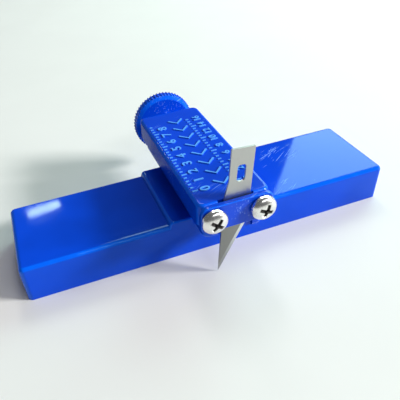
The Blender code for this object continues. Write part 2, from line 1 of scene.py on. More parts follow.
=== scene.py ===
# %% [markdown]
# # A screw-adjusted strip cutter
# This lesson dresses a small hand tool: a blue moulded guide bar, a carriage that crosses it,
# a craft blade clamped on the carriage's front and a knob that winds the carriage in and out.
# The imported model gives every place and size. The frame is loaded first, and its box is kept,
# because the finished tool has to stay inside it.

# %% Load the frame
import json
import math

import bmesh
import bpy
from mathutils import Matrix, Vector


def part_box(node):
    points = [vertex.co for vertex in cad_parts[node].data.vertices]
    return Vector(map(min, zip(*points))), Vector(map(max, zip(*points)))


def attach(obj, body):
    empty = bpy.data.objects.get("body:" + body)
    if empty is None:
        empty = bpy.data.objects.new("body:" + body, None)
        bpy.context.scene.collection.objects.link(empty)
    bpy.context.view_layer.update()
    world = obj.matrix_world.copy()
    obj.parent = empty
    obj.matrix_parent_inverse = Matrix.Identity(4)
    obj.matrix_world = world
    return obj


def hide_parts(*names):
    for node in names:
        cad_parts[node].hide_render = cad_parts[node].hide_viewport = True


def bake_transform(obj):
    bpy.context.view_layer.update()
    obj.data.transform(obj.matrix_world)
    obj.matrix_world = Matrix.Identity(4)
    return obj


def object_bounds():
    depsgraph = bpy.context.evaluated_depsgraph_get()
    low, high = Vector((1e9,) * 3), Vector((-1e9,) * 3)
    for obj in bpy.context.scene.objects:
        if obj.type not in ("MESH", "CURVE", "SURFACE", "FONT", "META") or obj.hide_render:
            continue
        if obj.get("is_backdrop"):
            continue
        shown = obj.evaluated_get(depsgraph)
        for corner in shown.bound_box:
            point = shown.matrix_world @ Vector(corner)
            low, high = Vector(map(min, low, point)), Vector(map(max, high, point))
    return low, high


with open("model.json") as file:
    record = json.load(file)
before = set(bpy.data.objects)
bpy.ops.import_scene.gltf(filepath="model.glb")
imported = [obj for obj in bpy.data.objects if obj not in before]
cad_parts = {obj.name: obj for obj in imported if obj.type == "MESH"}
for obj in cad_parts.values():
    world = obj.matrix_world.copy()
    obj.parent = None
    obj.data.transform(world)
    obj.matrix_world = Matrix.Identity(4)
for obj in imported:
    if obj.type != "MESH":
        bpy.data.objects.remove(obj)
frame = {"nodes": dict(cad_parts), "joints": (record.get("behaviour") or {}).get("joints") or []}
cad_low, cad_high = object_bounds()
joints = {joint["name"]: joint for joint in frame["joints"]}
MM = 0.001
print("nodes", len(frame["nodes"]), "box in mm", [round(x / MM, 1) for x in (cad_high - cad_low)])

# %% [markdown]
# ## The camera
# The tool is seen from the front left, from a little above: the blade stands near the middle of
# the frame, and the bar runs up to the right. A lens of about 41 mm gives the right foreshortening
# along the bar. The small sideways shift only places the tool in the frame.

# %% Place the camera
CAMERA_PLACE = (-0.04245, -0.10713, 0.09819)
CAMERA_TURN = (51.791, 3.608, -19.848)
camera_data = bpy.data.cameras.new("camera")
camera_data.lens = 41.48
camera_data.sensor_width = 36
camera_data.shift_x = 0.0735
camera_data.shift_y = -0.0023
camera_data.clip_start = 0.005
camera = bpy.data.objects.new("camera", camera_data)
camera.location = CAMERA_PLACE
camera.rotation_euler = [math.radians(a) for a in CAMERA_TURN]
bpy.context.scene.collection.objects.link(camera)
bpy.context.scene.camera = camera
print("camera", round(camera.location.length, 3), "m from the origin")

# %% [markdown]
# ## Floor and light
# The floor is one wide pale plane. A low key light from the right throws the shadows. A window
# at the right and a pane high at the back draw the highlights on the plastic, a strip in front
# lifts the front faces, a small far pane puts a glint on the bar's left end, and a dim sky fills
# the rest. Every light looks at the middle of the tool.

# %% Floor, sky and panels


def area_light(name, place, size, power, color):
    """A soft rectangular light that looks from its place to the middle of the tool."""
    data = bpy.data.lights.new(name, "AREA")
    data.shape = "RECTANGLE"
    data.size, data.size_y = size
    data.energy = power
    data.color = color
    light = bpy.data.objects.new(name, data)
    light.location = place
    light.rotation_euler = (Vector(MIDDLE) - Vector(place)).to_track_quat("-Z", "Y").to_euler()
    bpy.context.scene.collection.objects.link(light)


MIDDLE = (0, 0, 0.01)
WHITE = (1, 1, 1)
# Name, place, width and height in metres, watts and colour.
LIGHTS = (
    ("window", (0.50, 0.34, 0.40), (0.42, 0.42), 2.9, (0.68, 1.0, 0.90)),
    ("key", (2.20, -1.03, 1.18), (0.62, 0.42), 98.0, (1.0, 0.99, 0.96)),
    ("top", (0.24, 0.93, 1.25), (0.28, 0.5), 4.0, WHITE),
    ("fill", (0.20, -0.55, 0.62), (0.5, 0.10), 1.3, WHITE),
    ("far_pane", (-0.078, 0.78, 0.578), (0.075, 0.018), 0.075, WHITE),
)
for light in LIGHTS:
    area_light(*light)
world = bpy.data.worlds.new("sky")
world.use_nodes = True
sky = world.node_tree.nodes["Background"]
sky.inputs["Color"].default_value = (0.94, 0.97, 1.0, 1)
sky.inputs["Strength"].default_value = 0.13
bpy.context.scene.world = world
bpy.context.scene.view_settings.view_transform = "Standard"
FLOOR_SIZE = 3.0
bpy.ops.mesh.primitive_plane_add(size=FLOOR_SIZE, location=(0, 0, cad_low.z))
floor = bpy.context.object
floor.name = "floor"
floor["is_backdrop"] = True

# %% [markdown]
# ## Writing shaders as sums
# A finish is easier to read as arithmetic than as a web of nodes. `Value` wraps one socket, and
# adding, multiplying or comparing two of them adds the Math node that does it. `Shader.node`
# makes any other node: its settings are set first, then the values or links of its sockets.

# %% A small language for shaders


class Value:
    """One number socket of a shader. Sums of values become Math nodes."""

    def __init__(self, shader, socket):
        self.shader, self.socket = shader, socket

    def math(self, operation, *others, clamp=False):
        settings = {"operation": operation, "use_clamp": clamp}
        return self.shader.node("ShaderNodeMath", settings, [self, *others])

    def __add__(self, other):
        return self.math("ADD", other)

    def __mul__(self, other):
        return self.math("MULTIPLY", other)

    def __sub__(self, other):
        return self.math("SUBTRACT", other)

    def __rsub__(self, other):
        return (self * -1) + other

    __radd__ = __add__
    __rmul__ = __mul__

    def above(self, edge, soft):
        """0 below edge, rising to 1 over the width soft."""
        return ((self - edge) * (1 / soft)).math("ADD", 0, clamp=True)

    def below(self, edge, soft):
        return 1 - self.above(edge, soft)

    def greatest(self, other):
        return self.math("MAXIMUM", other)

    def size(self):
        return self.math("ABSOLUTE")


class Shader:
    """A material with a Principled BSDF, and short ways to add nodes to it."""

    def __init__(self, name, **settings):
        self.material = bpy.data.materials.new(name)
        self.material.use_nodes = True
        self.tree = self.material.node_tree
        self.surface = self.tree.nodes["Principled BSDF"]
        for socket, value in settings.items():
            self.set(socket.replace("_", " "), value)

    def node(self, kind, settings=None, sockets=None, output=0):
        """Adds a node. Settings come first, then sockets by name or number. Returns one output."""
        made = self.tree.nodes.new(kind)
        for key, value in (settings or {}).items():
            setattr(made, key, value)
        pairs = sockets.items() if isinstance(sockets, dict) else enumerate(sockets or [])
        for key, value in pairs:
            self.feed(made.inputs[key], value)
        return Value(self, made.outputs[output])

    def feed(self, socket, value):
        if isinstance(value, Value):
            self.tree.links.new(value.socket, socket)
        elif isinstance(value, tuple) and len(value) == 3 and socket.type == "RGBA":
            socket.default_value = (*value, 1)
        else:
            socket.default_value = value

    def set(self, socket, value):
        self.feed(self.surface.inputs[socket], value)

    def place(self, stretch=(1, 1, 1), turn=0.0):
        """Object coordinates in metres, turned about Z by some degrees and stretched."""
        here = self.node("ShaderNodeTexCoord", output="Object")
        angles = (0, 0, math.radians(turn))
        turned = self.node("ShaderNodeMapping", {}, {"Vector": here, "Rotation": angles})
        return self.node("ShaderNodeMapping", {}, {"Vector": turned, "Scale": stretch})

    def axes(self, output):
        """The three parts of a vector from Texture Coordinate: Object or Normal."""
        vector = self.node("ShaderNodeTexCoord", output=output)
        split = self.node("ShaderNodeSeparateXYZ", {}, [vector]).socket.node
        return [Value(self, socket) for socket in split.outputs]

    def noise(self, per_metre, detail=2.0, stretch=(1, 1, 1), roughness=0.5, turn=0.0):
        """Soft random variation from 0 to 1, that many blotches to the metre."""
        place = self.place(stretch, turn)
        sockets = {"Vector": place, "Scale": per_metre, "Detail": detail, "Roughness": roughness}
        return self.node("ShaderNodeTexNoise", {}, sockets, "Fac")

    def spots(self, per_metre):
        """Distance to the nearest of many scattered points, in cells."""
        sockets = {"Vector": self.place(), "Scale": per_metre}
        return self.node("ShaderNodeTexVoronoi", {"feature": "F1"}, sockets, "Distance")

    def edges(self):
        """1 on rounded edges and corners, 0 on faces that look along an axis."""
        x, y, z = (part.size() for part in self.axes("Normal"))
        return x.greatest(y).greatest(z).below(0.90, 0.09)

    def mix(self, share, first, second):
        """A colour between two others."""
        sockets = {0: share, 6: first, 7: second}
        return self.node("ShaderNodeMix", {"data_type": "RGBA"}, sockets, 2)

    def bump(self, height, depth):
        """Height from 0 to 1, over a real depth in metres, into the surface's normal."""
        sockets = {"Height": height, "Distance": depth, "Strength": 1.0}
        self.set("Normal", self.node("ShaderNodeBump", {}, sockets, "Normal"))


print("shader language ready")

# %% [markdown]
# ## Blue moulded plastic
# The tool's colour is in the plastic itself, a deep royal blue that goes almost black in shadow.
# A polished mould leaves it glossy, but not perfect: wide shallow sinks bend the reflections, and
# handling leaves hair-thin scratches and rubbed patches that have lost their gloss. The edges are
# paler: partly rubbed wear, partly a painted highlight. The bar's scratches keep to one stretch of
# its top, and a coat polishes the carriage all but its sides.

# %% Make the blue plastic
BLUE = (0.0010, 0.060, 0.68)
# Rounded edges are painted a paler blue: partly rubbed wear, partly a painted highlight.
BLUE_EDGE_WEAR_AND_SHEEN = (0.001, 0.15, 1.0)
BLUE_RUBBED = (0.24, 0.46, 0.95)
# The raised marks are painted lighter: partly rubbed wear, partly painted glints.
BLUE_RAISED_WEAR_AND_GLINT = (0.10, 0.38, 1.0)
BAR_SCRATCHED = (13 * MM, 34 * MM)
# Two sets of hairlines: their turn in degrees, and how many to the metre.
HAIRLINES = ((-24, 120), (-38, 150))


def blue_plastic(name, gloss=0.10, wear=1.0, color=BLUE, scratched=None, shine=0.24, coat=0.0):
    """Glossy plastic. `scratched` is the stretch along X, from and to, that handling has marked.
    A coat polishes all but the sides, which a mould leaves duller."""
    shader = Shader(name, Specular_IOR_Level=shine, IOR=1.46, Specular_Tint=(0.40, 1.0, 1.0, 1))
    if coat:
        sides = shader.axes("Normal")[0].size().above(0.6, 0.3)
        shader.set("Coat Roughness", 0.12)
        shader.set("Coat Weight", (1 - sides) * coat)
    clouds = shader.noise(38, 3)
    grain = shader.noise(5200, 2)
    sinks = shader.noise(26, 1)
    rubbed = shader.noise(160, 4, roughness=0.6).above(0.56, 0.2)
    handled = shader.noise(70, 2).above(0.55, 0.1)
    if scratched:
        along = shader.axes("Object")[0]
        upward = shader.axes("Normal")[2].above(0.9, 0.05)
        inside = along.above(scratched[0], 3 * MM) * along.below(scratched[1], 6 * MM)
        handled = inside * handled * upward
    marks = shader.spots(260).below(0.05, 0.02) * handled
    for turn, per_metre in HAIRLINES:
        hair = shader.noise(per_metre, 2, (1, 26, 8), turn=turn).above(0.655, 0.01)
        marks = marks.greatest(hair * handled)
    marks = marks * wear
    # The edge mask paints a paler blue: partly rubbed wear, partly a painted highlight.
    edge = shader.edges() * (rubbed * 0.35 + 0.65)
    deep = tuple(part * 0.82 for part in color)
    body = shader.mix(clouds.above(0.35, 0.3), deep, color)
    lit = shader.mix(edge, body, BLUE_EDGE_WEAR_AND_SHEEN)
    shader.set("Base Color", shader.mix(marks * 0.9, lit, BLUE_RUBBED))
    shader.set("Roughness", rubbed * 0.05 * wear + clouds * 0.04 + marks * 0.25 + gloss)
    shader.bump(sinks * 1.0 + grain * 0.004 - marks * 0.05, 0.16 * MM)
    return shader.material


plastic = blue_plastic("blue_plastic", 0.16, 0.4, shine=0.02, coat=0.6)
bar_plastic = blue_plastic("blue_plastic_bar", 0.03, 1.0, BLUE, BAR_SCRATCHED, 0.36)
knob_plastic = blue_plastic("blue_plastic_knob", 0.2, 0.5)
# The raised marks' plastic is a lighter blue: partly wear, partly painted glints.
raised_wear_and_glint_plastic = blue_plastic("blue_plastic_raised_wear_and_glint", 0.24, 0.4, BLUE_RAISED_WEAR_AND_GLINT)
print("plastics", [one.name for one in (plastic, bar_plastic, knob_plastic, raised_wear_and_glint_plastic)])

# %% [markdown]
# ## Metals and the grey rail
# Plated screws and brass are bright, with a soft bloom of grease and tiny pits. Spring steel is
# drawn, so it carries fine lines. The blade's ground steel is made later, with the blade, because
# it follows the blade's edge.

# %% Make the metals


def plated_metal(name, color, roughness, painted_shade=None):
    """Zinc, nickel or brass: bright, with a cloudy bloom, a few dark pits and, where a mask is given,
    painted shade.
    """
    shader = Shader(name, Metallic=1.0)
    bloom = shader.noise(420, 4)
    pits = shader.spots(1900).below(0.13, 0.05) * shader.noise(300, 2).above(0.5, 0.1)
    darker = tuple(part * 0.62 for part in color)
    bright = shader.mix((bloom.above(0.5, 0.25) * 0.45).greatest(pits), color, darker)
    # A given mask paints shade, darker still; without one the pits are darkened.
    pits_and_shade = painted_shade(shader) if painted_shade else pits
    shader.set("Base Color", shader.mix(pits_and_shade, bright, tuple(part * 0.2 for part in color)))
    shader.set("Roughness", bloom * 0.16 + pits * 0.3 + pits_and_shade * 0.3 + roughness)
    shader.bump(bloom * 0.4 + shader.noise(6000, 2) * 0.05 - pits * 0.3, 0.012 * MM)
    return shader.material


def drawn_steel(name, color, roughness, stretch):
    """Steel with fine lines: the stretch is large across them and small along them."""
    shader = Shader(name, Metallic=1.0)
    lines = shader.noise(900, 3, stretch)
    cloud = shader.noise(120, 3)
    darker = tuple(part * 0.7 for part in color)
    shader.set("Base Color", shader.mix(lines * 0.6 + cloud * 0.3, darker, color))
    shader.set("Roughness", lines * 0.14 + cloud * 0.1 + roughness)
    shader.bump(lines, 0.004 * MM)
    return shader.material


ZINC = (0.90, 0.885, 0.86)
BRASS = (0.83, 0.60, 0.27)
SPRING_STEEL = (0.50, 0.50, 0.51)
zinc = plated_metal("bright_zinc", ZINC, 0.17)
brass = plated_metal("turned_brass", BRASS, 0.18)
spring_steel = drawn_steel("spring_steel", SPRING_STEEL, 0.22, (1, 9, 1))
grey = Shader("grey_plastic", Specular_IOR_Level=0.4)
grey.set("Base Color", grey.mix(grey.noise(200, 3), (0.20, 0.205, 0.22), (0.30, 0.305, 0.32)))
grey.set("Roughness", grey.noise(300, 3) * 0.2 + 0.42)
grey.bump(grey.noise(2500, 2), 0.02 * MM)
print("metals", zinc.name, brass.name, spring_steel.name)

# %% The floor's finish
pale = Shader("pale_floor", Specular_IOR_Level=0.25)
pale.set("Base Color", pale.mix(pale.noise(30, 3), (0.74, 0.74, 0.73), (0.78, 0.78, 0.77)))
pale.set("Roughness", pale.noise(80, 2) * 0.1 + 0.6)
floor.data.materials.append(pale.material)
print("floor at", cad_low.z)

# %% [markdown]
# ## Tools for making pieces
# Every piece is made where it belongs, in metres, with its object left at the origin. An outline
# is drawn as a flat curve, given thickness and turned to a mesh; edges are rounded by a Bevel and
# holes cut by a Boolean, and the result is applied, so each piece ends as one plain mesh.

# %% Outlines, boxes and turned shapes
ALONG_Y = Matrix.Rotation(math.radians(90), 4, "X")


def add(name, mesh):
    obj = bpy.data.objects.new(name, mesh)
    bpy.context.scene.collection.objects.link(obj)
    return obj


def tidy(mesh, flat=1e-3):
    """Joins doubled points, melts flat triangles into one face and turns every face outward."""
    bm = bmesh.new()
    bm.from_mesh(mesh)
    bmesh.ops.remove_doubles(bm, verts=bm.verts, dist=1e-7)
    if flat:
        bmesh.ops.dissolve_limit(bm, angle_limit=flat, verts=bm.verts, edges=bm.edges)
    bmesh.ops.recalc_face_normals(bm, faces=bm.faces)
    bm.to_mesh(mesh)
    bm.free()
    return mesh


def settled(obj):
    """The object's mesh with its modifiers applied, on the same object."""
    bpy.context.view_layer.update()
    made = bpy.data.meshes.new_from_object(obj.evaluated_get(bpy.context.evaluated_depsgraph_get()))
    obj.modifiers.clear()
    if obj.type == "MESH":
        obj.data = made
        return obj
    name = obj.name
    bpy.data.objects.remove(obj)
    return add(name, made)


def box_mesh(low, high):
    size, middle = Vector(high) - Vector(low), (Vector(high) + Vector(low)) / 2
    bm = bmesh.new()
    bmesh.ops.create_cube(bm, size=1, matrix=Matrix.Translation(middle) @ Matrix.Diagonal((*size, 1)))
    mesh = bpy.data.meshes.new("box")
    bm.to_mesh(mesh)
    bm.free()
    return mesh


def hexagon(flats, height):
    """A hexagon's six corners, from the distance between its flats and the height of its middle."""
    radius = flats / math.sqrt(3)
    angles = (2 * math.pi * k / 6 + math.radians(30) for k in range(6))
    return [(radius * math.cos(a), height + radius * math.sin(a)) for a in angles]


def rounded(corners, segments=8):
    """An outline from (x, y, radius) corners, each rounded by an arc."""
    outline, count = [], len(corners)
    for k, (x, y, radius) in enumerate(corners):
        here = Vector((x, y))
        if radius <= 0:
            outline.append((x, y))
            continue
        before = (Vector(corners[k - 1][:2]) - here).normalized()
        after = (Vector(corners[(k + 1) % count][:2]) - here).normalized()
        half = before.angle(after) / 2
        middle = here + (before + after).normalized() * radius / math.sin(half)
        first = here + before * radius / math.tan(half) - middle
        last = here + after * radius / math.tan(half) - middle
        sweep = first.angle_signed(last)
        for step in range(segments + 1):
            outline.append(tuple(middle + Matrix.Rotation(-sweep * step / segments, 2) @ first))
    return outline


def rectangle(low, high, radius, segments):
    """A rectangle's outline with every corner rounded by one radius."""
    corners = [(low[0], low[1]), (high[0], low[1]), (high[0], high[1]), (low[0], high[1])]
    return rounded([(x, y, radius) for x, y in corners], segments)


def slab(name, loops, start, thickness):
    """A flat outline in X and Z with holes, running from y = start towards +Y."""
    curve = bpy.data.curves.new(name, "CURVE")
    curve.dimensions, curve.fill_mode, curve.extrude = "2D", "BOTH", thickness / 2
    for loop in loops:
        spline = curve.splines.new("POLY")
        spline.points.add(len(loop) - 1)
        for point, (x, y) in zip(spline.points, loop):
            point.co = (x, y, 0, 1)
        spline.use_cyclic_u = True
    obj = settled(add(name, curve))
    obj.data.materials.clear()
    tidy(obj.data)
    obj.data.transform(Matrix.Translation((0, start + thickness / 2, 0)) @ ALONG_Y)
    return obj


def turned(name, profile, middle, steps=96, axis="Y"):
    """A profile of (radius, distance) pairs turned about +Y or +Z through a point."""
    mesh = bpy.data.meshes.new(name)
    lines = [(k, k + 1) for k in range(len(profile) - 1)]
    mesh.from_pydata([(r, 0, d) for r, d in profile], lines, [])
    obj = add(name, mesh)
    screw = obj.modifiers.new("turn", "SCREW")
    screw.axis, screw.steps, screw.render_steps = "Z", steps, steps
    screw.use_merge_vertices, screw.merge_threshold = True, 1e-6
    settled(obj)
    tidy(obj.data, 0)
    turn = Matrix.Rotation(math.radians(-90), 4, "X") if axis == "Y" else Matrix.Identity(4)
    obj.data.transform(Matrix.Translation(middle) @ turn)
    return obj


def soften(obj, width, segments=3, angle=40, clamp=True):
    """Rounds the edges, as a mould or a tumbler does. Without the clamp the width is kept exactly."""
    modifier = obj.modifiers.new("edges", "BEVEL")
    modifier.width, modifier.segments, modifier.use_clamp_overlap = width, segments, clamp
    modifier.limit_method, modifier.angle_limit = "ANGLE", math.radians(angle)
    return settled(obj)


def plan_block(name, low, high, corner, edge):
    """A block with upright corners rounded by one radius and its other edges by a smaller one."""
    obj = slab(name, [rectangle(low, high, corner, 10)], 0, high[2] - low[2])
    obj.data.transform(Matrix.Translation((0, 0, high[2])) @ ALONG_Y.inverted())
    return soften(obj, edge, 5, 50, clamp=False)


def carve(obj, *cutters, operation="DIFFERENCE"):
    """Cuts shapes from a piece, or joins them on. A cutter is an object, and is used up."""
    for cutter in cutters:
        modifier = obj.modifiers.new("cut", "BOOLEAN")
        modifier.operation, modifier.solver, modifier.object = operation, "EXACT", cutter
        settled(obj)
        bpy.data.objects.remove(cutter)
    return obj


def drill(obj, radius, start, end, middle, steps=64, axis="Y"):
    """Cuts a round hole along an axis through `middle`, between two distances along it."""
    profile = [(0, end), (radius, end), (radius, start), (0, start)]
    carve(obj, turned("drill", profile, middle, steps, axis))


def finish_piece(obj, material, body, slot, *stands_for):
    """Shades a piece, gives it its finish, and lets it ride on its body."""
    obj.data.materials.clear()
    obj.data.materials.append(material)
    obj.data.shade_smooth()
    obj.data.set_sharp_from_angle(angle=math.radians(32))
    weights = obj.modifiers.new("weights", "WEIGHTED_NORMAL")
    weights.keep_sharp = True
    settled(obj)
    if body:
        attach(obj, body)
    if stands_for:
        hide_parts(*stands_for)
    print(obj.name, len(obj.data.polygons), "faces, rides on", body or "two bodies")
    return obj


def node_axis(joint):
    return Vector(joints[joint]["pos_m"])


# %% [markdown]
# ## Geometry Nodes, built by hand
# Teeth round a knob, knurls on a brass insert and the ticks of a scale all repeat by a rule, so
# each comes from a small node tree with named sizes. `Growth` keeps one tree and its inputs, and
# `grow` runs it once and hands back a plain mesh.

# %% A tree builder


class Growth:
    """A Geometry Nodes tree with named inputs that ends in Realize Instances and Set Material."""

    def __init__(self, name):
        self.tree = bpy.data.node_groups.new(name, "GeometryNodeTree")
        self.tree.interface.new_socket("Geometry", in_out="INPUT", socket_type="NodeSocketGeometry")
        self.tree.interface.new_socket("Geometry", in_out="OUTPUT", socket_type="NodeSocketGeometry")
        self.names = {}
        self.start = self.tree.nodes.new("NodeGroupInput")
        self.end = self.tree.nodes.new("NodeGroupOutput")

    def input(self, name, kind="Float"):
        item = self.tree.interface.new_socket(name, in_out="INPUT", socket_type="NodeSocket" + kind)
        self.names[name] = item.identifier
        return self.start.outputs[name]

    def node(self, kind, settings=None, sockets=None, output=0):
        made = self.tree.nodes.new(kind)
        for key, value in (settings or {}).items():
            setattr(made, key, value)
        for key, value in (sockets or {}).items():
            for one in value if isinstance(value, list) else [value]:
                if isinstance(one, bpy.types.NodeSocket):
                    self.tree.links.new(one, made.inputs[key])
                else:
                    made.inputs[key].default_value = one
        return made.outputs[output]

    def math(self, operation, *values):
        return self.node("ShaderNodeMath", {"operation": operation}, dict(enumerate(values)))

    def combine(self, x, y, z):
        return self.node("ShaderNodeCombineXYZ", {}, {0: x, 1: y, 2: z})

    def finish(self, geometry):
        real = self.node("GeometryNodeRealizeInstances", {}, {0: geometry})
        sockets = {"Geometry": real, "Material": self.input("Material", "Material")}
        dressed = self.node("GeometryNodeSetMaterial", {}, sockets)
        self.tree.links.new(dressed, self.end.inputs[0])

    def grow(self, name, **sizes):
        """Runs the tree once on an empty mesh and returns a plain mesh object."""
        obj = add(name, bpy.data.meshes.new(name))
        modifier = obj.modifiers.new("grow", "NODES")
        modifier.node_group = self.tree
        for key, value in sizes.items():
            modifier[self.names[key.replace("_", " ")]] = value
        return settled(obj)


# %% [markdown]
# ## Ridges round a rim
# One tree makes the knob's serrations and the knurls of the brass inserts. Points on a circle each
# take a small rod that lies along the axis, half sunk in the rim.

# %% The ridge tree
ridges = Growth("ridges_round_rim")
rim_radius, rim_count = ridges.input("Rim Radius"), ridges.input("Count", "Int")
ridge_radius, ridge_length = ridges.input("Ridge Radius"), ridges.input("Ridge Length")
ridge_flat = ridges.input("Flatness")
ring_points = ridges.node(
    "GeometryNodeMeshCircle", {"fill_type": "NONE"}, {"Vertices": rim_count, "Radius": rim_radius}
)
rod = ridges.node(
    "GeometryNodeMeshCylinder",
    {"fill_type": "NGON"},
    {"Vertices": 10, "Radius": ridge_radius, "Depth": ridge_length},
    "Mesh",
)
turn_out = ridges.node(
    "FunctionNodeAlignEulerToVector", {"axis": "X"}, {"Vector": ridges.node("GeometryNodeInputPosition")}
)
flat_scale = ridges.combine(1.0, ridge_flat, 1.0)
teeth = ridges.node(
    "GeometryNodeInstanceOnPoints",
    {},
    {"Points": ring_points, "Instance": rod, "Rotation": turn_out, "Scale": flat_scale},
)
ridges.finish(teeth)
print("ridge tree inputs", list(ridges.names))

# %% [markdown]
# ## Coils
# A spring and a screw thread are the same thing: a section swept along a helix. A thread's
# section has three sides and the spring's has twelve.

# %% The coil tree
coil = Growth("coil")
coil_turns, coil_radius = coil.input("Turns"), coil.input("Radius")
coil_height, coil_steps = coil.input("Height"), coil.input("Steps", "Int")
wire_radius, wire_sides = coil.input("Wire Radius"), coil.input("Sides", "Int")
helix = coil.node(
    "GeometryNodeCurveSpiral",
    {},
    {
        "Resolution": coil_steps,
        "Rotations": coil_turns,
        "Start Radius": coil_radius,
        "End Radius": coil_radius,
        "Height": coil_height,
    },
)
section = coil.node(
    "GeometryNodeCurvePrimitiveCircle", {}, {"Resolution": wire_sides, "Radius": wire_radius}
)
swept = coil.node(
    "GeometryNodeCurveToMesh", {}, {"Curve": helix, "Profile Curve": section, "Fill Caps": True}
)
coil.finish(swept)
print("coil tree inputs", list(coil.names))


def wind(name, radius, start, end, turns, wire, sides, material, middle, axis="Y", per_turn=28):
    """A coil round an axis through `middle`, between two distances along it."""
    obj = coil.grow(
        name, Turns=turns, Radius=radius, Height=end - start, Steps=per_turn,
        Wire_Radius=wire, Sides=sides, Material=material,
    )
    turn = Matrix.Rotation(math.radians(-90), 4, "X") if axis == "Y" else Matrix.Identity(4)
    along = Vector((0, 1, 0)) if axis == "Y" else Vector((0, 0, 1))
    obj.data.transform(Matrix.Translation(Vector(middle) + along * start) @ turn)
    return obj


def merge(obj, *others):
    """Adds other pieces' faces to a piece, without cutting, and uses them up."""
    bm = bmesh.new()
    for one in (obj, *others):
        bm.from_mesh(one.data)
    bm.to_mesh(obj.data)
    bm.free()
    for other in others:
        bpy.data.objects.remove(other)
    return obj


# %% [markdown]
# ## The guide bar
# The bar is one moulding: a long box with a low saddle in the middle, open underneath, where thin
# ribs keep it straight. The box is drawn from above with rounded corners, and the saddle from the
# front; each is softened, then they are joined. The box starts too low, and one flat cut makes
# its sharp underside. The pockets are cut by a node tree that sets rounded blocks on a grid.

# %% Draw the bar
bar_low, bar_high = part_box("guide_bar")
EDGE = 1.35 * MM
CORNER = 1.6 * MM
BAR_TOP = 11.9 * MM
SADDLE_HALF = 14.95 * MM
SADDLE_EDGE = 0.7 * MM
SLANT = 0.55 * MM
BELOW = 3 * MM
bar_half = bar_high.x
box_low = (-bar_half, bar_low.y, bar_low.z - BELOW)
box_high = (bar_half, bar_high.y, BAR_TOP)
bar = plan_block("guide_bar_moulding", box_low, box_high, CORNER, EDGE)
saddle_side = [
    (SADDLE_HALF, BAR_TOP - BELOW), (SADDLE_HALF, BAR_TOP), (SADDLE_HALF - SLANT, bar_high.z),
]
saddle_loop = saddle_side + [(-x, z) for x, z in reversed(saddle_side)]
saddle = slab("saddle", [saddle_loop], bar_low.y, bar_high.y - bar_low.y)
soften(saddle, SADDLE_EDGE, 4, clamp=False)
carve(bar, saddle, operation="UNION")
below_low = (-2 * bar_half, 2 * bar_low.y, bar_low.z - 2 * BELOW)
below_high = (2 * bar_half, 2 * bar_high.y, bar_low.z)
carve(bar, add("below", box_mesh(below_low, below_high)))
print("bar", [round(v / MM, 1) for v in (bar_high - bar_low)], "mm")

# %% [markdown]
# The pockets stop short of the top and leave a solid middle for the rail's screws. Each block's
# upright corners are rounded, as a mould maker's cutter leaves them.

# %% Cut the pockets
WALL = 2.4 * MM
RIB = 1.8 * MM
CORE = 19.0 * MM
POCKET_EDGE = 0.7 * MM
COLUMNS, ROWS = 5, 2
column = (bar_half - WALL - CORE / 2 - (COLUMNS - 1) * RIB) / COLUMNS
row = (bar_high.y - bar_low.y - 2 * WALL - (ROWS - 1) * RIB) / ROWS
pockets = Growth("pocket_grid")
pocket_x, pocket_y = pockets.input("Pocket Length"), pockets.input("Pocket Width")
pocket_z, pocket_gap = pockets.input("Pocket Depth"), pockets.input("Rib")
pocket_columns, pocket_rows = pockets.input("Columns", "Int"), pockets.input("Rows", "Int")
pitch_x, pitch_y = pockets.math("ADD", pocket_x, pocket_gap), pockets.math("ADD", pocket_y, pocket_gap)
span_x = pockets.math("MULTIPLY", pitch_x, pockets.math("SUBTRACT", pocket_columns, 1))
span_y = pockets.math("MULTIPLY", pitch_y, pockets.math("SUBTRACT", pocket_rows, 1))
grid = pockets.node(
    "GeometryNodeMeshGrid",
    {},
    {"Size X": span_x, "Size Y": span_y, "Vertices X": pocket_columns, "Vertices Y": pocket_rows},
    "Mesh",
)
block_size = pockets.combine(pocket_x, pocket_y, pocket_z)
block = pockets.node("GeometryNodeMeshCube", {}, {"Size": block_size}, "Mesh")
blocks = pockets.node("GeometryNodeInstanceOnPoints", {}, {"Points": grid, "Instance": block})
pockets.finish(blocks)
POCKET_DEPTH = BAR_TOP - WALL
for side in (-1, 1):
    cutter = pockets.grow(
        "pockets", Pocket_Length=column, Pocket_Width=row, Pocket_Depth=2 * POCKET_DEPTH,
        Rib=RIB, Columns=COLUMNS, Rows=ROWS, Material=plastic,
    )
    middle_x = side * (CORE / 2 + bar_half - WALL) / 2
    cutter.data.transform(Matrix.Translation((middle_x, 0, 0)))
    soften(cutter, POCKET_EDGE, 3)
    carve(bar, cutter)
print("pockets", 2 * COLUMNS * ROWS, "each", round(column / MM, 2), "by", round(row / MM, 2), "mm")

# %% Seat, screw holes and finish
rail_low, rail_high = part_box("slide_rail")
GAP = 0.3 * MM
SEAT_HALF = 4.4 * MM
SCREW_HOLE = 1.65 * MM
SCREW_SEAT = 8 * MM
seat_low = (-SEAT_HALF, rail_low.y - GAP, rail_low.z - GAP)
seat_high = (SEAT_HALF, rail_high.y + GAP, BAR_TOP * 2)
carve(bar, add("seat", box_mesh(seat_low, seat_high)))
for name in ("rail_screw_front", "rail_screw_rear"):
    low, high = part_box(name)
    y = (low.y + high.y) / 2
    head = (high.x - low.x) / 2 + GAP
    bore_top = rail_low.z + WALL
    bore = [
        (0, bore_top), (SCREW_HOLE, bore_top), (SCREW_HOLE, SCREW_SEAT), (head, SCREW_SEAT),
        (head, -WALL), (0, -WALL),
    ]
    carve(bar, turned("bore", bore, (0, y, 0), 48, "Z"))
finish_piece(bar, bar_plastic, "fence", "blue_plastic", "guide_bar")

# %% [markdown]
# ## The slide rail
# The rail is hidden in the carriage, and only its rear end and foot show from behind and below.
# It is a T: a foot keyed into the saddle and a wide head that the carriage's lips reach under.

